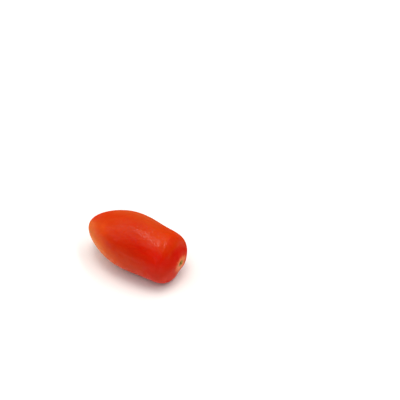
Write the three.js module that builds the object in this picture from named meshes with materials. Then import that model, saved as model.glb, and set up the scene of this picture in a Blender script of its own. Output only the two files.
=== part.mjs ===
// A datterino tomato: a small plum tomato shaped like a date, as picked and with its calyx pulled off.
// It grew as one piece, so it is one solid. It lies on its side on the small flat spot that its weight presses into it.
// Millimetres, +Z up. +X is the stem end, -X the blossom end, and the origin is under the middle of the fruit.

import * as THREE from "three";

// Driving dimensions.
const LENGTH = 45.5; // from the blossom end to the stem end, along the fruit's axis
const RADIUS = 11.84; // half the thickness at mid length, before the fullness below
// How much fatter the fruit is than an ellipsoid, from the blossom end to the stem end: the control values of
// a Bernstein polynomial. The last value squares the stem end's shoulders.
const FULLNESS = [0.88, 0.915, 1.065, 1.155, 1.02, 0.745, 2.18];
const ARCH = 1.24; // both ends hang this far below the middle of the axis
const SWAY = 0.34; // both ends stand this far towards +Y of the middle of the axis
const STEM_FACE_LEAN = { y: 0.065, z: -0.088 }; // how far the stem end's face leans forward, per mm of y and of z
const REST_TILT = THREE.MathUtils.degToRad(2.2); // the stem end dips, as the fruit lies on its side
const FLAT_SPOT_DEPTH = 0.18; // how deep the fruit's weight flattens its underside

// Relief at the stem end. A direction is in degrees: 0 is up and 90 is towards +Y.
const SCAR = { y: 2.25, z: -1.7 }; // where the stem grew from, beside the fruit's axis
const SCAR_COLLAR = { radius: 1.1, height: 0.2, width: 0.4 }; // corky ring left where the calyx came off
const SCAR_PIT = { radius: 0.65, depth: 0.4 };
const HOLLOW = { radius: 2.6, depth: 0.89 }; // the dimple round the scar
const FURROW_REACH = 5.35; // distance from the scar at which the furrows are deepest
const FURROWS = [
  { direction: 180, depth: 0.77, width: 32 },
  { direction: 95, depth: 0.12, width: 16 },
  { direction: 30, depth: 0.14, width: 16 },
  { direction: -50, depth: 0.16, width: 18 },
  { direction: -105, depth: 0.12, width: 14 },
];

// Relief at the blossom end: the tip that the flower's style left.
const BLOSSOM_TIP = { radius: 0.55, height: 0.5 };

// Shallow dents on the sides, each at a share of the length from the blossom end.
const DENTS = [
  { depth: 0.22, at: 0.74, length: 0.13, direction: 35, width: 45 },
  { depth: 0.16, at: 0.62, length: 0.16, direction: -62, width: 26 },
  { depth: 0.14, at: 0.34, length: 0.16, direction: -20, width: 30 },
  { depth: 0.14, at: 0.45, length: 0.2, direction: 100, width: 34 },
];

// Facets.
const RINGS = 76; // bands from end to end
const SIDES = 72; // facets round the fruit
const END_CROWDING = 0.6; // 0 spaces the rings evenly, and towards 1 they crowd at both ends

const degrees = THREE.MathUtils.degToRad;

// A Bernstein polynomial with these control values, at a share from the first to the last.
function bernstein(values, share) {
  let row = values;
  while (row.length > 1) {
    row = row.slice(1).map((next, k) => THREE.MathUtils.lerp(row[k], next, share));
  }
  return row[0];
}

// The angle between two directions round the fruit, from 0 to half a turn.
function turnBetween(a, b) {
  return Math.acos(Math.cos(a - b));
}

// A bell curve: 1 at zero, and falling away over the given width.
function bell(distance, width) {
  return Math.exp(-((distance / width) ** 2));
}

// How far the stem end's relief sinks the surface, at this far to the side of the scar and above it.
function stemRelief(aside, above) {
  const distance = Math.hypot(aside, above);
  const direction = Math.atan2(aside, above);
  let depth = HOLLOW.depth * bell(distance, HOLLOW.radius);
  depth -= SCAR_COLLAR.height * bell(distance - SCAR_COLLAR.radius, SCAR_COLLAR.width);
  depth += SCAR_PIT.depth * bell(distance, SCAR_PIT.radius);
  const share = (distance / FURROW_REACH) ** 2;
  for (const furrow of FURROWS) {
    const turnAway = turnBetween(direction, degrees(furrow.direction));
    depth += furrow.depth * bell(turnAway, degrees(furrow.width)) * share * Math.exp(1 - share);
  }
  return depth;
}

// How far the dents sink the surface, at a share of the length from the blossom end.
function sideRelief(share, direction) {
  let depth = 0;
  for (const dent of DENTS) {
    const turnAway = turnBetween(direction, degrees(dent.direction));
    depth += dent.depth * bell(share - dent.at, dent.length) * bell(turnAway, degrees(dent.width));
  }
  return depth;
}

// A point of the skin. The polar angle is 0 at the stem end of the axis and pi at the blossom tip. The base is an
// ellipsoid of LENGTH and RADIUS, made fatter by FULLNESS, and the relief moves it along a sphere's normal.
function skinPoint(polar, direction) {
  const along = Math.cos(polar);
  const share = (1 + along) / 2;
  let radius = RADIUS * Math.sin(polar) * bernstein(FULLNESS, share);
  let depth = sideRelief(share, direction) * Math.sin(polar) ** 2;
  if (along > 0) {
    const aside = radius * Math.sin(direction) - SCAR.y;
    const above = radius * Math.cos(direction) - SCAR.z;
    depth += stemRelief(aside, above) * along ** 2;
  } else {
    depth -= BLOSSOM_TIP.height * bell(radius, BLOSSOM_TIP.radius);
  }
  radius -= depth * Math.sin(polar);
  const y = radius * Math.sin(direction);
  const z = radius * Math.cos(direction);
  const lean = (STEM_FACE_LEAN.y * y + STEM_FACE_LEAN.z * z) * share ** 4;
  return new THREE.Vector3((LENGTH / 2 - depth) * along + lean, y + SWAY * along ** 2, z - ARCH * along ** 2);
}

// The skin as a closed body: a sphere with its poles on the X axis, each point moved to its place on the fruit.
function skinGeometry() {
  const geometry = new THREE.SphereGeometry(1, SIDES, RINGS).rotateZ(-Math.PI / 2);
  const position = geometry.getAttribute("position");
  for (let k = 0; k < position.count; k++) {
    const [x, y, z] = [position.getX(k), position.getY(k), position.getZ(k)];
    const even = Math.atan2(Math.hypot(y, z), x);
    const polar = even - (END_CROWDING / 2) * Math.sin(2 * even);
    position.setXYZ(k, ...skinPoint(polar, Math.atan2(y, z)));
  }
  return geometry;
}

// Tips the fruit to its balance, centres it over the origin, and presses its underside flat at z = 0.
function layOnItsSide(geometry) {
  geometry.rotateY(REST_TILT);
  geometry.computeBoundingBox();
  const { min, max } = geometry.boundingBox;
  geometry.translate(-(min.x + max.x) / 2, -(min.y + max.y) / 2, -min.z - FLAT_SPOT_DEPTH);
  const position = geometry.getAttribute("position");
  for (let k = 0; k < position.count; k++) {
    position.setZ(k, Math.max(position.getZ(k), 0));
  }
  geometry.computeVertexNormals();
  return geometry;
}

const skin = new THREE.MeshStandardMaterial({
  color: new THREE.Color().setRGB(0.8, 0.16, 0.06, THREE.SRGBColorSpace),
  roughness: 0.35,
  metalness: 0,
});

const fruit = new THREE.Mesh(layOnItsSide(skinGeometry()), skin);
fruit.name = "fruit";

const tomato = new THREE.Group();
tomato.name = "datterino_tomato";
tomato.add(fruit);

export default tomato;
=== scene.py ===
# %% [markdown]
# A datterino tomato
#
# This notebook dresses one small plum tomato, shaped like a date. On the plant it grew as a single
# piece: a thin waxy skin round the flesh. So it is a single surface here too, closed at both ends. We
# work out its shape with numpy, give it a skin whose colour changes from end to end, and set it on a
# pale table in soft light.
#
# The solid model comes first. It fixes the frame that everything else follows: metres, +Z up, +X
# towards the stem end, and the table's surface at z = 0. We note its box now, so that we can compare
# sizes at the end.

# %% Load the solid model
import math

import bpy
import numpy as np
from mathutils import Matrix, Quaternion, Vector


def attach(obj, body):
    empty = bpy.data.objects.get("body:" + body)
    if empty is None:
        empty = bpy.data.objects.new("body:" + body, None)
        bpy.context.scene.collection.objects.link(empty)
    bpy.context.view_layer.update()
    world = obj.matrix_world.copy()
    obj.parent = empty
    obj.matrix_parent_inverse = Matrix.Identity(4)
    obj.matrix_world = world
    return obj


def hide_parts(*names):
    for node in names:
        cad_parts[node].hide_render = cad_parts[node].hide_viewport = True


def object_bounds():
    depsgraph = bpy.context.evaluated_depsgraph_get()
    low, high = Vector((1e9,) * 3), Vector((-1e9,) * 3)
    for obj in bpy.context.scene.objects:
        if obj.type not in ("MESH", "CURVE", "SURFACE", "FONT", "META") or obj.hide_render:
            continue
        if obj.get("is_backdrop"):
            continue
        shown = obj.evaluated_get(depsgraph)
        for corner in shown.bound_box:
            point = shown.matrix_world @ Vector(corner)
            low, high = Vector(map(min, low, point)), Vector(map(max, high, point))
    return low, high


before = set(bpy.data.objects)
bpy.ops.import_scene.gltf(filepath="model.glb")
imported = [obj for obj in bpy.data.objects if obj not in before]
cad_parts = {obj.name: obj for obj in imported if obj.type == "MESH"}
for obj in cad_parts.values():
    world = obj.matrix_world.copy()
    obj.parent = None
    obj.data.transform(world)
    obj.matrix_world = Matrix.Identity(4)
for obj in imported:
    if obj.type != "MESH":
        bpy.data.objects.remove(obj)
solid_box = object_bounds()
print("nodes:", sorted(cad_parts), "box:", [[round(x, 4) for x in corner] for corner in solid_box])

# %% [markdown]
# The sizes that drive the shape
#
# A tomato could be sculpted by hand, but then each later change would mean sculpting it again. A
# formula with a few named sizes is easier to read and to correct. These are the sizes of the solid
# model, in millimetres. The base is an ellipsoid, and FULLNESS says how much fatter than that the fruit
# is, from the blossom end to the stem end.
#
# Two kinds of wave are finer than the solid's facets, so they are here alone: those that tear the corky
# collar, and those of the seed chambers under the skin.

# %% Sizes in millimetres
LENGTH = 45.5
RADIUS = 11.84
FULLNESS = [0.88, 0.915, 1.065, 1.155, 1.02, 0.745, 2.18]
ARCH = 1.24  # both ends hang this far below the middle of the axis
SWAY = 0.34  # and stand this far towards +Y of it
FACE_LEAN = (0.065, -0.088)  # how far the stem end's face leans forward, per mm of y and of z
REST_TILT = math.radians(2.2)  # the stem end dips, as the fruit lies on its side
FLAT_SPOT_DEPTH = 0.18

SCAR = (2.25, -1.7)  # y and z of the place where the stem grew from, beside the fruit's axis
COLLAR_RADIUS, COLLAR_HEIGHT, COLLAR_WIDTH = 1.1, 0.2, 0.4
COLLAR_TEARS = [(0.35, 5, 0.6), (0.25, 8, -1.1)]  # share of the height, waves round the collar, phase
COLLAR_WOBBLE = 0.08  # how far the collar is from round, in three waves
PIT_RADIUS, PIT_DEPTH = 0.65, 0.4
HOLLOW_RADIUS, HOLLOW_DEPTH = 2.6, 0.89
FURROW_REACH = 5.35  # distance from the scar at which the furrows are deepest
FURROWS = [(180, 0.77, 32), (95, 0.12, 16), (30, 0.14, 16), (-50, 0.16, 18), (-105, 0.12, 14)]
TIP_RADIUS, TIP_HEIGHT = 0.55, 0.5
DENTS = [
    (0.22, 0.74, 0.13, 35, 45),  # depth, share of the length, its width, direction, its width
    (0.16, 0.62, 0.16, -62, 26),
    (0.14, 0.34, 0.16, -20, 30),
    (0.14, 0.45, 0.20, 100, 34),
]
CHAMBER_WAVES = [
    (0.014, 5, 9, 0.0),  # height, waves round the fruit, radians from end to end, phase
    (0.012, 3, -14, 1.3),
    (0.007, 11, 23, 0.4),
    (0.005, 17, -37, 0.0),
]
print("the fruit is about", LENGTH, "mm long, with", len(FURROWS), "furrows and", len(DENTS), "dents")

# %% [markdown]
# Small helpers for the relief
#
# A fruit has no sharp edges: what stands out of it or sinks into it fades away on all sides. Such
# relief could be painted as a height map, but a picture has a fixed grain. We use bell curves instead,
# which are 1 in the middle and fade with distance. A bell has no edge, so no crease shows where the
# relief ends, and bells add up to any dimple or furrow.


# %% Helpers for the relief
def bell(distance, width):
    """e to the power of minus the square of distance over width."""
    return np.exp(-((distance / width) ** 2))


def turn_between(direction, degrees):
    """The angle from each direction, in radians, to one in degrees, from 0 to half a turn."""
    return np.arccos(np.clip(np.cos(direction - math.radians(degrees)), -1, 1))


def bernstein(values, share):
    """The sum of value k times the binomial of (n, k) times share^k times (1 - share)^(n - k)."""
    n = len(values) - 1
    terms = [v * math.comb(n, k) * share**k * (1 - share) ** (n - k) for k, v in enumerate(values)]
    return sum(terms)


print("fullness at the middle:", round(bernstein(FULLNESS, 0.5), 3))

# %% [markdown]
# The stem end
#
# The stem grew from a shallow dimple. When the green calyx came off it left a corky ring with a sunken
# middle, and the skin runs from it in soft furrows. On the real fruit the ring is ragged, because the
# cork tears as it dries. A bump in the material could fake all of it, but it would vanish at the
# fruit's outline, and the exported mesh would be smooth. So it is real relief, with the tears as waves
# round the ring.


# %% Relief of the stem end
def stem_relief(aside, above):
    """How far the skin sinks at a point this far beside and above the scar.

    It is a bell for the dimple, less a ring of bells for the collar, plus a small bell for the pit, plus
    one bell in the angle for each furrow. The collar's height is multiplied by 1 plus a few cosines of
    the angle round it. A furrow's depth is multiplied by s times e to the (1 - s), where s is the square
    of the distance over the reach, so that it grows from the scar and then fades."""
    distance = np.hypot(aside, above)
    direction = np.arctan2(aside, above)
    depth = HOLLOW_DEPTH * bell(distance, HOLLOW_RADIUS)
    tears = [size * np.cos(count * direction + phase) for size, count, phase in COLLAR_TEARS]
    wobble = COLLAR_WOBBLE * np.cos(3 * direction)
    ring = bell(distance - COLLAR_RADIUS - wobble, COLLAR_WIDTH)
    depth = depth - COLLAR_HEIGHT * (1 + sum(tears)) * ring
    depth = depth + PIT_DEPTH * bell(distance, PIT_RADIUS)
    s = (distance / FURROW_REACH) ** 2
    for degrees, furrow_depth, width in FURROWS:
        turned = turn_between(direction, degrees)
        depth = depth + furrow_depth * bell(turned, math.radians(width)) * s * np.exp(1 - s)
    return depth


print("depth at the scar's middle:", round(float(stem_relief(np.array(0.0), np.array(0.0))), 2), "mm")

# %% [markdown]
# The sides
#
# No fruit is perfectly round. A few shallow dents come from the solid model. To them we add very low
# waves, some hundredths of a millimetre high, which follow the two or three seed chambers inside.
# Random noise would do as well, but sines of the direction join up all round the fruit. They are too
# small to see as shape, yet they bend the light's reflection, so that it does not look like one in
# glass.


# %% Relief of the sides
def side_relief(share, direction):
    """How far the sides sink: one bell along the length times one bell round the fruit for each dent."""
    depth = 0
    for dent_depth, at, length, degrees, width in DENTS:
        turned = turn_between(direction, degrees)
        depth = depth + dent_depth * bell(share - at, length) * bell(turned, math.radians(width))
    return depth


def chamber_waves(share, direction):
    """The sum of height times the sine of (waves times direction, plus turn times share, plus phase)."""
    return sum(
        height * np.sin(count * direction + turn * share + phase)
        for height, count, turn, phase in CHAMBER_WAVES
    )


print("deepest dent:", round(float(np.max(side_relief(np.linspace(0, 1, 50), 0.6))), 2), "mm")

# %% [markdown]
# The whole skin as a function of two angles
#
# The real skin is one closed sheet, so ours is a surface over two parameters, as the globe is over
# latitude and longitude. The polar angle runs from the stem end to the blossom tip, and the direction
# runs round the fruit. A subdivided cage could give the same outline, but not the fine relief. One
# formula gives every point, and numpy works it out for the whole grid at once.


# %% The skin's formula
def skin(polar, direction):
    """The points of the skin in mm, their share of the length, and their distance and angle at the scar.

    x is half the length times the cosine of the polar angle. The distance from the axis is the radius
    times the sine of it, times the fullness. The relief moves both inwards, the stem end's face leans by
    the fourth power of the share, and the axis bends by the square of the cosine."""
    along = np.cos(polar)
    share = (1 + along) / 2
    radius = RADIUS * np.sin(polar) * bernstein(FULLNESS, share)
    aside = radius * np.sin(direction) - SCAR[0]
    above = radius * np.cos(direction) - SCAR[1]
    depth = (side_relief(share, direction) + chamber_waves(share, direction)) * np.sin(polar) ** 2
    at_stem = stem_relief(aside, above) * along**2
    at_blossom = -TIP_HEIGHT * bell(radius, TIP_RADIUS)
    depth = depth + np.where(along > 0, at_stem, at_blossom)
    radius = radius - depth * np.sin(polar)
    y = radius * np.sin(direction)
    z = radius * np.cos(direction)
    lean = (FACE_LEAN[0] * y + FACE_LEAN[1] * z) * share**4
    points = np.stack([(LENGTH / 2 - depth) * along + lean, y + SWAY * along**2, z - ARCH * along**2], -1)
    return points, share, np.hypot(aside, above), np.arctan2(aside, above)


print("stem end of the axis:", np.round(skin(np.array(0.0), np.array(0.0))[0], 2))

# %% [markdown]
# Lay the fruit on its side
#
# A tomato on a table rolls to its balance, and its weight presses a small flat spot into the underside.
# A physics simulation could find both, but two numbers do: we tip the fruit by its known angle, centre
# it over the origin as the solid model is centred, and press what is below the table up to z = 0.
#
# Before that come the angles themselves. The rings crowd together at both ends, where the relief is
# fine, and each end is a single point.

# %% Lay the fruit on its side
RINGS = 300
SIDES = 288
RING_CROWDING = 0.3  # 0 spaces the rings evenly, and towards 0.5 they crowd at both ends

even = np.pi * np.arange(1, RINGS) / RINGS
ring_angles = even - RING_CROWDING * np.sin(2 * even)
side_angles = 2 * np.pi * np.arange(SIDES) / SIDES
polar, direction = np.meshgrid(ring_angles, side_angles, indexing="ij")
polar = np.concatenate([[0.0], polar.ravel(), [np.pi]])
direction = np.concatenate([[0.0], direction.ravel(), [0.0]])

points, share, from_scar, round_scar = skin(polar, direction)
sine, cosine = math.sin(REST_TILT), math.cos(REST_TILT)
tip_over = np.array([[cosine, 0, sine], [0, 1, 0], [-sine, 0, cosine]])
points = points @ tip_over.T
low, high = points.min(0), points.max(0)
points = points - [(low[0] + high[0]) / 2, (low[1] + high[1]) / 2, low[2] + FLAT_SPOT_DEPTH]
points[:, 2] = np.maximum(points[:, 2], 0)
print("size in mm:", np.round(points.max(0) - points.min(0), 2))

# %% [markdown]
# From points to mesh
#
# The skin has no seam and no hole, so neither has the mesh: the last side joins the first, and a fan of
# triangles closes each end. Blender's own sphere could be bent into place, but building the faces
# ourselves takes a few lines and shows how a grid becomes a surface. Faces list their corners
# anticlockwise as seen from outside, so that they point outwards.

# %% Make the mesh
ring = np.arange(RINGS - 2)[:, None]
side = np.arange(SIDES)[None, :]
here = 1 + ring * SIDES + side
beside = 1 + ring * SIDES + (side + 1) % SIDES
quads = np.stack([here, here + SIDES, beside + SIDES, beside], -1).reshape(-1, 4)
first = 1 + np.arange(SIDES)
first_beside = 1 + (np.arange(SIDES) + 1) % SIDES
last = first + (RINGS - 2) * SIDES
last_beside = first_beside + (RINGS - 2) * SIDES
stem_cap = np.stack([np.zeros_like(first), first, first_beside], -1)
blossom_cap = np.stack([np.full_like(last, len(points) - 1), last_beside, last], -1)

mesh = bpy.data.meshes.new("tomato_skin")
faces = quads.tolist() + stem_cap.tolist() + blossom_cap.tolist()
mesh.from_pydata((points / 1000).tolist(), [], faces)
mesh.shade_smooth()
mesh.update()
tomato = bpy.data.objects.new("tomato_skin", mesh)
bpy.context.scene.collection.objects.link(tomato)
print(len(mesh.vertices), "points,", len(mesh.loop_triangles), "triangles")

# %% [markdown]
# What the skin needs to know about itself
#
# The colours follow the fruit: they change from end to end, and they gather round the scar and the tip.
# A pattern on plain coordinates could not tell where those are, so each point keeps a few numbers of
# its own: how far it is from the scar and from the tip in millimetres, its share of the length, and its
# direction as a sine and a cosine. A direction as a plain angle would jump from 360 to 0 degrees and
# leave a seam.
#
# The distance from the scar is measured across the fruit, so it is small at the blossom end as well.
# There the scar's colours would show a second time. So the distance grows quickly away from the stem
# end.


# %% Numbers on the points
STEM_END = 0.8  # share of the length where the stem end starts
GROWTH = 40  # mm added to the distance from the scar, for a whole length away from there


def keep_number(name, values):
    """Keeps one number on each point of the mesh."""
    attribute = mesh.attributes.new(name, "FLOAT", "POINT")
    attribute.data.foreach_set("value", np.asarray(values, np.float32))


def keep_vector(name, columns):
    """Keeps three numbers on each point of the mesh."""
    attribute = mesh.attributes.new(name, "FLOAT_VECTOR", "POINT")
    attribute.data.foreach_set("vector", np.stack(columns, -1).astype(np.float32).ravel())


from_tip = np.linalg.norm(points - points[-1], axis=1)
from_scar = from_scar + GROWTH * np.clip(STEM_END - share, 0, 1)
keep_number("from_scar", from_scar)
keep_number("from_tip", from_tip)
keep_number("along", share)
keep_vector("round_scar", [np.sin(round_scar), np.cos(round_scar), from_scar / 10])
keep_vector("round_body", [np.sin(direction), np.cos(direction), share])
print("attributes:", [a.name for a in mesh.attributes if not a.name.startswith(".")])

# %% [markdown]
# Helpers for the graph of nodes
#
# A material is a small graph of nodes. It could be drawn by hand in the editor, but a script can be
# read, changed and run again. The first helper adds a node, gives it its settings and links its inputs
# in one line. The others name the few things that we ask of nodes again and again.


# %% Helpers for nodes
def add(tree, kind, inputs=None, **settings):
    """Adds a node of this kind. An input is given a value, or a socket to be linked to."""
    new = tree.nodes.new(kind)
    for name, value in settings.items():
        setattr(new, name, value)
    for name, value in (inputs or {}).items():
        if isinstance(value, bpy.types.NodeSocket):
            tree.links.new(value, new.inputs[name])
        else:
            new.inputs[name].default_value = value
    return new


def attribute(tree, name, output="Fac"):
    """What the points keep under this name."""
    return add(tree, "ShaderNodeAttribute", attribute_name=name).outputs[output]


def noise(tree, vector, scale, detail=2.0, roughness=0.5):
    """Cloudy values from 0 to 1, mostly near a half."""
    inputs = {"Vector": vector, "Scale": scale, "Detail": detail, "Roughness": roughness}
    return add(tree, "ShaderNodeTexNoise", inputs).outputs["Fac"]


def remap(tree, value, start, end, at_start, at_end, blend="LINEAR"):
    """at_start where the value is below start, at_end where it is above end, and a blend between."""
    inputs = {"Value": value, "From Min": start, "From Max": end, "To Min": at_start, "To Max": at_end}
    return add(tree, "ShaderNodeMapRange", inputs, interpolation_type=blend).outputs["Result"]


def bump(tree, height, strength, distance, over=None):
    """The normal, tilted by the slope of the height. The distance is in metres."""
    inputs = {"Height": height, "Strength": strength, "Distance": distance}
    if over is not None:
        inputs["Normal"] = over
    return add(tree, "ShaderNodeBump", inputs).outputs["Normal"]


print("node helpers are ready")

# %% [markdown]
# Masks
#
# A ripe skin has no sharp borders between its colours. So a mask says how much of something there is,
# from 0 to 1, and it rises or fades smoothly. It could be painted by hand on an unwrapped mesh, but
# masks worked out from the points' own numbers stay sharp at any distance and follow the shape when it
# changes.


# %% Helpers for masks
def fade(tree, value, start, end):
    """1 below start, 0 above end, and smooth between them."""
    return remap(tree, value, start, end, 1.0, 0.0, "SMOOTHSTEP")


def rise(tree, value, start, end):
    """0 below start, 1 above end, and smooth between them."""
    return remap(tree, value, start, end, 0.0, 1.0, "SMOOTHSTEP")


def calculate(tree, operation, a, b):
    """One step of arithmetic."""
    return add(tree, "ShaderNodeMath", {0: a, 1: b}, operation=operation).outputs[0]


def both(tree, a, b):
    """High only where both masks are: a times b. With a number for b, it makes the mask weaker."""
    return calculate(tree, "MULTIPLY", a, b)


def either(tree, a, b):
    """High where one of the masks is: the larger of a and b."""
    return calculate(tree, "MAXIMUM", a, b)


def outside(tree, mask):
    """High where the mask is low: 1 less the mask."""
    return calculate(tree, "SUBTRACT", 1.0, mask)


def swing(tree, clouds, width):
    """Noise that swings about 0: the clouds less a half, times the width."""
    return calculate(tree, "MULTIPLY", calculate(tree, "SUBTRACT", clouds, 0.5), width)


print("mask helpers are ready")

# %% [markdown]
# Colours
#
# What we see of the skin is several thin layers of colour over each other, and each shows as much as
# its mask lets it. One big node with many inputs could blend them all, but layers that are laid one by
# one can be read and changed one by one.


# %% Helpers for colours
def lay(tree, under, over, mask, strength=1.0):
    """The under colour, with the over colour laid on it by the mask times the strength."""
    if strength < 1.0:
        mask = both(tree, mask, strength)
    new = add(tree, "ShaderNodeMix", {0: mask}, data_type="RGBA")
    for socket, colour in ((6, under), (7, over)):
        if isinstance(colour, bpy.types.NodeSocket):
            tree.links.new(colour, new.inputs[socket])
        else:
            new.inputs[socket].default_value = (*colour, 1)
    return new.outputs[2]


def ramp(tree, place, stops):
    """Colours blended along a line: each stop is a place from 0 to 1 and a colour."""
    new = add(tree, "ShaderNodeValToRGB", {"Fac": place})
    elements = new.color_ramp.elements
    while len(elements) < len(stops):
        elements.new(1.0)
    for element, (position, colour) in zip(elements, stops):
        element.position = position
        element.color = (*colour, 1)
    return new.outputs["Color"]


print("colour helpers are ready")

# %% [markdown]
# Ripeness
#
# One colour would look like plastic. A tomato ripens unevenly: the blossom end is still orange while
# the stem end is deep red. So the skin has three ramps along the fruit, each from the blossom end to the
# stem end. The ramp for the upper side is more orange, partly its own colour and partly painted light
# from the lamps above. The ramp for the flank is deep red. The ramp for the underside is paler orange,
# partly its own colour and partly painted reflection of the white table. Faint clouds push the colours a
# little up and down the ramps, because no border between two shades is a clean ring.

# %% Ramps of ripeness
# The upper side: partly its own orange, partly painted light from the lamps above.
UPPER_SIDE_WITH_PAINTED_LIGHT = [
    (0.05, (0.60, 0.028, 0.002)),
    (0.22, (0.55, 0.033, 0.003)),
    (0.55, (0.49, 0.025, 0.002)),
    (0.90, (0.55, 0.035, 0.002)),
    (1.00, (0.56, 0.014, 0.000)),
]
# The flank's deep red. It is also laid on the stem's face as painted shade.
FLANK_RED_AND_PAINTED_SHADE = [
    (0.05, (0.76, 0.140, 0.020)),
    (0.25, (0.65, 0.055, 0.006)),
    (0.42, (0.54, 0.022, 0.002)),
    (0.65, (0.51, 0.010, 0.001)),
    (0.90, (0.58, 0.005, 0.000)),
]
# The underside: partly its own paler orange, partly painted reflection of the white table.
UNDERSIDE_WITH_PAINTED_REFLECTION = [
    (0.05, (0.86, 0.290, 0.080)),
    (0.25, (0.78, 0.175, 0.024)),
    (0.45, (0.64, 0.070, 0.009)),
    (0.65, (0.55, 0.038, 0.005)),
    (0.90, (0.55, 0.017, 0.003)),
]

material = bpy.data.materials.new("ripe_tomato_skin")
material.use_nodes = True
tree = material.node_tree
tree.nodes.clear()

where = add(tree, "ShaderNodeTexCoord").outputs["Object"]
along = attribute(tree, "along")
clouds = noise(tree, where, 110.0, detail=3.0)
place_on_ramp = calculate(tree, "ADD", along, swing(tree, clouds, 0.30))
upper_red_with_painted_light = ramp(tree, place_on_ramp, UPPER_SIDE_WITH_PAINTED_LIGHT)
flank_red_and_painted_shade = ramp(tree, place_on_ramp, FLANK_RED_AND_PAINTED_SHADE)
underside_red_with_painted_reflection = ramp(tree, place_on_ramp, UNDERSIDE_WITH_PAINTED_REFLECTION)
print("three ramps with", len(UPPER_SIDE_WITH_PAINTED_LIGHT), "colours each")

# %% [markdown]
# From side to side
#
# The direction round the fruit mixes the three ramps. A fourth colour, a little more orange, is a cheek
# high on the upper side, towards the back. The stem's face takes the flank's deep red whatever its
# direction. This red is painted shade, because the face is tilted and in shade. At the blossom tip all
# directions meet in a point, and the sides' colours would meet there like slices of a cake. One orange
# over the tip hides that, as the real fruit's tip is one colour too.
#
# The two numbers of a mask say where it starts and ends: in shares of the length for along, in
# millimetres for a distance, and for a direction from -1, facing away from it, to 1, facing it.

# %% Mix the ramps
LIT_SIDE = 20  # degrees round the fruit, from up towards +Y
CHEEK_SIDE = 50
CHEEK = (0.53, 0.075, 0.012)
BLOSSOM_ORANGE = (0.72, 0.12, 0.02)

round_body = attribute(tree, "round_body", "Vector")
from_tip_mm = attribute(tree, "from_tip")


def facing(tree, degrees):
    """How much the skin faces a direction round the fruit: the cosine of the angle between the two."""
    angle = math.radians(degrees)
    inputs = {0: round_body, 1: (math.sin(angle), math.cos(angle), 0)}
    return add(tree, "ShaderNodeVectorMath", inputs, operation="DOT_PRODUCT").outputs["Value"]


facing_lit_side = facing(tree, LIT_SIDE)
# The flank, and the stem's face, which takes the flank's red as painted shade.
flank_and_painted_stem_shade = either(tree, fade(tree, facing_lit_side, 0.42, 0.86), rise(tree, along, 0.955, 0.985))
# The underside, whose paler orange is partly painted reflection of the white table.
below = fade(tree, facing_lit_side, -0.6, 0.3)
cheek = both(tree, rise(tree, along, 0.17, 0.3), fade(tree, along, 0.6, 0.85))
cheek = both(tree, cheek, rise(tree, facing(tree, CHEEK_SIDE), 0.6, 0.95))
blossom_end = fade(tree, from_tip_mm, 0.8, 5.5)

ripeness = lay(tree, upper_red_with_painted_light, flank_red_and_painted_shade, flank_and_painted_stem_shade)
ripeness = lay(tree, ripeness, underside_red_with_painted_reflection, below)
ripeness = lay(tree, ripeness, CHEEK, cheek, 0.6)
ripeness = lay(tree, ripeness, BLOSSOM_ORANGE, blossom_end, 0.9)
print("the sunny side is at", LIT_SIDE, "degrees and the cheek at", CHEEK_SIDE)

# %% [markdown]
# Streaks
#
# The flesh grows in strands from the stem to the tip, and they show faintly through the skin. Plain
# noise would give blots and not strands. Noise that is read in the direction round the fruit, and only
# slowly along it, gives long streaks, and it joins up all round.

# %% Streaks in the flesh
STREAK = (0.62, 0.07, 0.012)

strands = add(tree, "ShaderNodeMapping", {"Vector": round_body, "Scale": (1.0, 1.0, 1.1)}).outputs["Vector"]
streaks = fade(tree, noise(tree, strands, 7.0, detail=3.0, roughness=0.6), 0.40, 0.70)
streaked = lay(tree, ripeness, STREAK, streaks, 0.10)
print("skin colours run from orange red at the blossom end to deep red at the stem")

# %% [markdown]
# The pale star round the scar
#
# Where the stem held on, the skin is thin and corky, so a pale salmon halo surrounds the scar, and a
# faint blush surrounds the halo. Both end in rays. The halo's pale salmon is partly painted sheen: the
# lamps and the white table mirrored in the dimple round the scar. The rays could be drawn one by one,
# but noise that is read round the scar gives irregular ones: it changes quickly with the angle and
# slowly outwards. It pulls the border of the halo in and out.

# %% Halo and blush
BLUSH = (0.72, 0.115, 0.035)
# Partly the thin skin's own salmon, partly painted sheen.
HALO_AND_PAINTED_SHEEN = (0.76, 0.225, 0.085)

from_scar_mm = attribute(tree, "from_scar")
rays = noise(tree, attribute(tree, "round_scar", "Vector"), 2.6, detail=3.0, roughness=0.6)
reach = calculate(tree, "SUBTRACT", from_scar_mm, swing(tree, rays, 5.0))
blushed = lay(tree, streaked, BLUSH, fade(tree, reach, 3.0, 6.5), 0.3)
# The halo's pale salmon is partly painted sheen of the lamps and the table.
haloed_with_painted_sheen = lay(tree, blushed, HALO_AND_PAINTED_SHEEN, fade(tree, reach, 2.2, 4.8), 0.85)
print("the scar has a halo and a blush, with rays")

# %% [markdown]
# Cork and dry tip
#
# In the middle of the halo sits the collar of yellow green cork with its dark brown pit, and at the
# blossom end is the dry dark tip that the flower left. Both are dead tissue, crumbly and torn at the
# edge. A clean circle would look printed, so fine noise, the crumbs, tears the borders and also mixes
# the cork's colours.

# %% Colours of the cork and the tip
CORK = [(0.35, (0.22, 0.16, 0.035)), (0.65, (0.50, 0.36, 0.10))]
PIT = (0.07, 0.035, 0.012)
TIP_RING = (0.66, 0.16, 0.04)
DRY_TIP = (0.10, 0.035, 0.015)

crumbs = noise(tree, where, 2600.0, detail=2.0)
torn = calculate(tree, "ADD", from_scar_mm, swing(tree, crumbs, 1.1))
cork = fade(tree, torn, 1.25, 1.75)
corked = lay(tree, haloed_with_painted_sheen, ramp(tree, crumbs, CORK), cork)
pitted = lay(tree, corked, PIT, fade(tree, torn, 0.45, 0.85))

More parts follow.
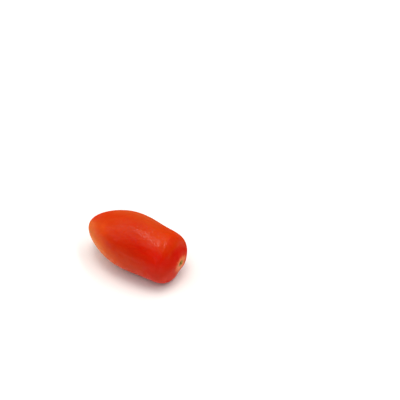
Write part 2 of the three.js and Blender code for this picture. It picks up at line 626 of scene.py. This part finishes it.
tip = fade(tree, from_tip_mm, 0.30, 0.62)
tip_ringed = lay(tree, pitted, TIP_RING, fade(tree, from_tip_mm, 0.6, 1.9), 0.35)
skin_colour = lay(tree, tip_ringed, DRY_TIP, tip)
print("the scar has a collar and a pit, and the blossom end a dark tip")

# %% [markdown]
# Wax
#
# The flesh under the skin is matt, and the shine comes from a thin coat of natural wax. The same gloss
# all over would look like varnish. The real wax is patchy, so a mask sets how much of it there is: none
# on the cork, less on the shoulder round the stem, and less where the upper side turns away from us,
# because the fine bloom on it hides the shine there.

# %% How much wax there is
dry = either(tree, cork, tip)
turned_away = add(tree, "ShaderNodeLayerWeight", {"Blend": 0.5}).outputs["Facing"]
shoulder = outside(tree, either(tree, fade(tree, along, 0.93, 0.985), below))
bloom = outside(tree, either(tree, fade(tree, turned_away, 0.32, 0.8), below))
dull = either(tree, either(tree, both(tree, shoulder, 0.75), bloom), dry)

grain = noise(tree, where, 1100.0, detail=1.0)
patches = remap(tree, grain, 0.40, 0.60, 0.16, 0.62)
wax = both(tree, patches, outside(tree, dull))
print("the wax is patchy, and there is none on the cork")

# %% [markdown]
# Grain
#
# A polished ball mirrors a lamp as a clean white shape. A tomato breaks it into specks, because its
# skin has a fine grain, about a millimetre from one bump to the next, and low waves two to three times
# as wide. As geometry they would need a much finer mesh, so they are bumps in the normal. The cork gets
# its crumbs as a third bump.

# %% Grain of the skin and the cork
waves = noise(tree, where, 420.0, detail=1.0)
grained = bump(tree, grain, 0.28, 0.0003)
waved = bump(tree, waves, 0.08, 0.001, over=grained)
normal = bump(tree, both(tree, crumbs, dry), 0.8, 0.0003, over=waved)
matt = remap(tree, clouds, 0.3, 0.7, 0.42, 0.55)
roughness = remap(tree, dry, 0.0, 1.0, matt, 0.9)
print("three bumps: grain, waves and crumbs")

# %% [markdown]
# Put the skin together
#
# Light enters a ripe tomato, spreads in the wet flesh and comes out redder. A plain surface colour
# would look painted, so a part of the light is scattered under the surface, red the furthest. The shine
# is left to the coat of wax alone. The numbers that are the same everywhere sit on the shader itself.

# %% The skin's shader
shader = add(
    tree,
    "ShaderNodeBsdfPrincipled",
    {
        "Base Color": skin_colour,
        "Roughness": roughness,
        "Normal": normal,
        "Specular IOR Level": 0.0,
        "Coat Weight": wax,
        "Coat Roughness": 0.17,
        "Coat IOR": 1.3,
        "Coat Normal": normal,
        "Subsurface Weight": 0.3,
        "Subsurface Radius": (1.0, 0.22, 0.10),
        "Subsurface Scale": 0.003,
    },
)
add(tree, "ShaderNodeOutputMaterial", {"Surface": shader.outputs["BSDF"]})
mesh.materials.append(material)
print(len(tree.nodes), "nodes in the skin")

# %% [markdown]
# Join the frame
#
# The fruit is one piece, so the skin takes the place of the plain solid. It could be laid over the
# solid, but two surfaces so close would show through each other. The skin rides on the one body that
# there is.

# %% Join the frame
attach(tomato, "root")
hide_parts("fruit")
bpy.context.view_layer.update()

# %% [markdown]
# The camera
#
# The view is steep, 42 degrees down, through a long lens from less than half a metre. The fruit lies
# left of the picture's middle and below it. Turning the camera or shifting its lens would put it there
# too. Instead the camera stands to one side, and the fruit is seen away from the lens's axis, as it is
# in the photograph, so that the perspective is right.

# %% Camera
PICTURE = 400
FOCAL = 1052  # the lens's focal length, in pixels of the picture
SENSOR = 36  # the sensor's width in mm
AZIMUTH = math.radians(31.4)
ELEVATION = math.radians(42)
DISTANCE = 0.45
MIDDLE_HEIGHT = 0.012
SEEN_AT = (132.9, 241.95)  # the middle of the fruit in the picture, in pixels from the top left


def studio(right, away, up):
    """A direction to the camera's right, away from it and up, turned into the fruit's frame."""
    sine, cosine = math.sin(AZIMUTH), math.cos(AZIMUTH)
    return Vector((cosine * right - sine * away, sine * right + cosine * away, up))


def place(item, where_to, aim, roll=0):
    """Puts a camera or a lamp here, its -Z towards the aim and its top up, then rolls it by degrees."""
    item.location = where_to
    turned = (Vector(aim) - Vector(where_to)).to_track_quat("-Z", "Y")
    item.rotation_euler = (turned @ Quaternion((0, 0, 1), math.radians(roll))).to_euler()
    bpy.context.scene.collection.objects.link(item)


back = studio(0, -math.cos(ELEVATION), math.sin(ELEVATION))
right = studio(1, 0, 0)
upward = studio(0, math.sin(ELEVATION), math.cos(ELEVATION))
stand = Vector((0, 0, MIDDLE_HEIGHT)) + DISTANCE * back
stand = stand - right * (SEEN_AT[0] - PICTURE / 2) / FOCAL * DISTANCE
stand = stand + upward * (SEEN_AT[1] - PICTURE / 2) / FOCAL * DISTANCE

camera = bpy.data.objects.new("camera", bpy.data.cameras.new("camera"))
camera.data.sensor_width = SENSOR
camera.data.lens = SENSOR * FOCAL / PICTURE
place(camera, stand, stand - back)
bpy.context.scene.camera = camera
print("camera at", [round(x, 3) for x in stand], "lens", round(camera.data.lens, 1), "mm")

# %% [markdown]
# The table
#
# The fruit lies on something plain and white. A curved backdrop would do, but no horizon shows in the
# photograph's steep view, so a flat square is enough. It is matt, so that it takes a soft shadow and
# mirrors next to nothing.

# %% Table
TABLE_EDGE = 3.0  # from the middle of the table, in metres

table_mesh = bpy.data.meshes.new("table")
corners = [(x * TABLE_EDGE, y * TABLE_EDGE, 0) for x, y in ((-1, -1), (1, -1), (1, 1), (-1, 1))]
table_mesh.from_pydata(corners, [], [(0, 1, 2, 3)])
table = bpy.data.objects.new("table", table_mesh)
bpy.context.scene.collection.objects.link(table)
white = bpy.data.materials.new("matte_white")
white.use_nodes = True
table_shader = white.node_tree.nodes["Principled BSDF"]
table_shader.inputs["Base Color"].default_value = (0.90, 0.90, 0.90, 1)
table_shader.inputs["Roughness"].default_value = 0.9
table_shader.inputs["Specular IOR Level"].default_value = 0.1
table_mesh.materials.append(white)
table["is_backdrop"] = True
print("table:", 2 * TABLE_EDGE, "m wide")

# %% [markdown]
# The light
#
# Small things are photographed in a white tent, so that their shadows are soft. One big lamp would
# leave the shadow too dark, so there is a soft lamp for each side of the tent: the roof hangs overhead
# and a little behind, and the left, right and front walls fill the shadow. Two smaller, warmer lamps
# hang above. Both are mirrored in the wax: one draws the mild streak of shine along the fruit's upper
# side, and the strip draws the short bar across the shoulder beside it. The room itself adds a dim
# fill.
#
# Each place is in metres, to the camera's right, away from it and up.


# %% Light
WARM = (1.0, 0.90, 0.82)


def softbox(name, where_to, size, radiance, aim=(0, 0, 0.01), colour=(1, 1, 1), roll=0):
    """A rectangular lamp, aimed at the fruit by default. Its power is radiance times area times pi."""
    lamp = bpy.data.lights.new(name, "AREA")
    lamp.shape = "RECTANGLE"
    lamp.size, lamp.size_y = size
    lamp.energy = radiance * size[0] * size[1] * math.pi
    lamp.color = colour
    place(bpy.data.objects.new(name, lamp), where_to, aim, roll)


softbox("tent_roof", studio(0.0, 0.2, 1.0), (1.6, 1.6), 0.90)
softbox("lamp", studio(-0.07, 0.05, 1.0), (0.34, 0.46), 6.2, studio(-0.07, 0.0, 0.0), WARM)
softbox("strip", studio(0.46, 0.0, 1.0), (1.25, 0.20), 5.8, studio(0.0, 0.0, 0.0), WARM, roll=17)
softbox("tent_left", studio(-0.85, -0.05, 0.85), (1.14, 1.14), 1.0)
softbox("tent_right", studio(1.0, 0.0, 0.8), (1.2, 1.2), 0.42)
softbox("tent_front", studio(0.0, -1.0, 0.8), (1.3, 1.3), 0.74)

room = bpy.data.worlds.new("room")
room.use_nodes = True
room.node_tree.nodes["Background"].inputs["Color"].default_value = (1, 1, 1, 1)
room.node_tree.nodes["Background"].inputs["Strength"].default_value = 0.09
bpy.context.scene.world = room
bpy.context.scene.view_settings.view_transform = "Standard"
print("a roof and three walls of soft light, two lamps, and a dim room")

# %% [markdown]
# Sizes at the end
#
# The dressed fruit must be as large as the solid one. The eye cannot judge that in a picture, so we
# compare both boxes and print the largest difference.

# %% Compare the boxes
boxes = {
    "solid": [list(corner) for corner in solid_box],
    "dressed": [list(corner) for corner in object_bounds()],
}
pairs = zip(boxes["solid"], boxes["dressed"])
differences = [abs(a - b) for solid, dressed in pairs for a, b in zip(solid, dressed)]
print("largest difference:", round(1000 * max(differences), 3), "mm")
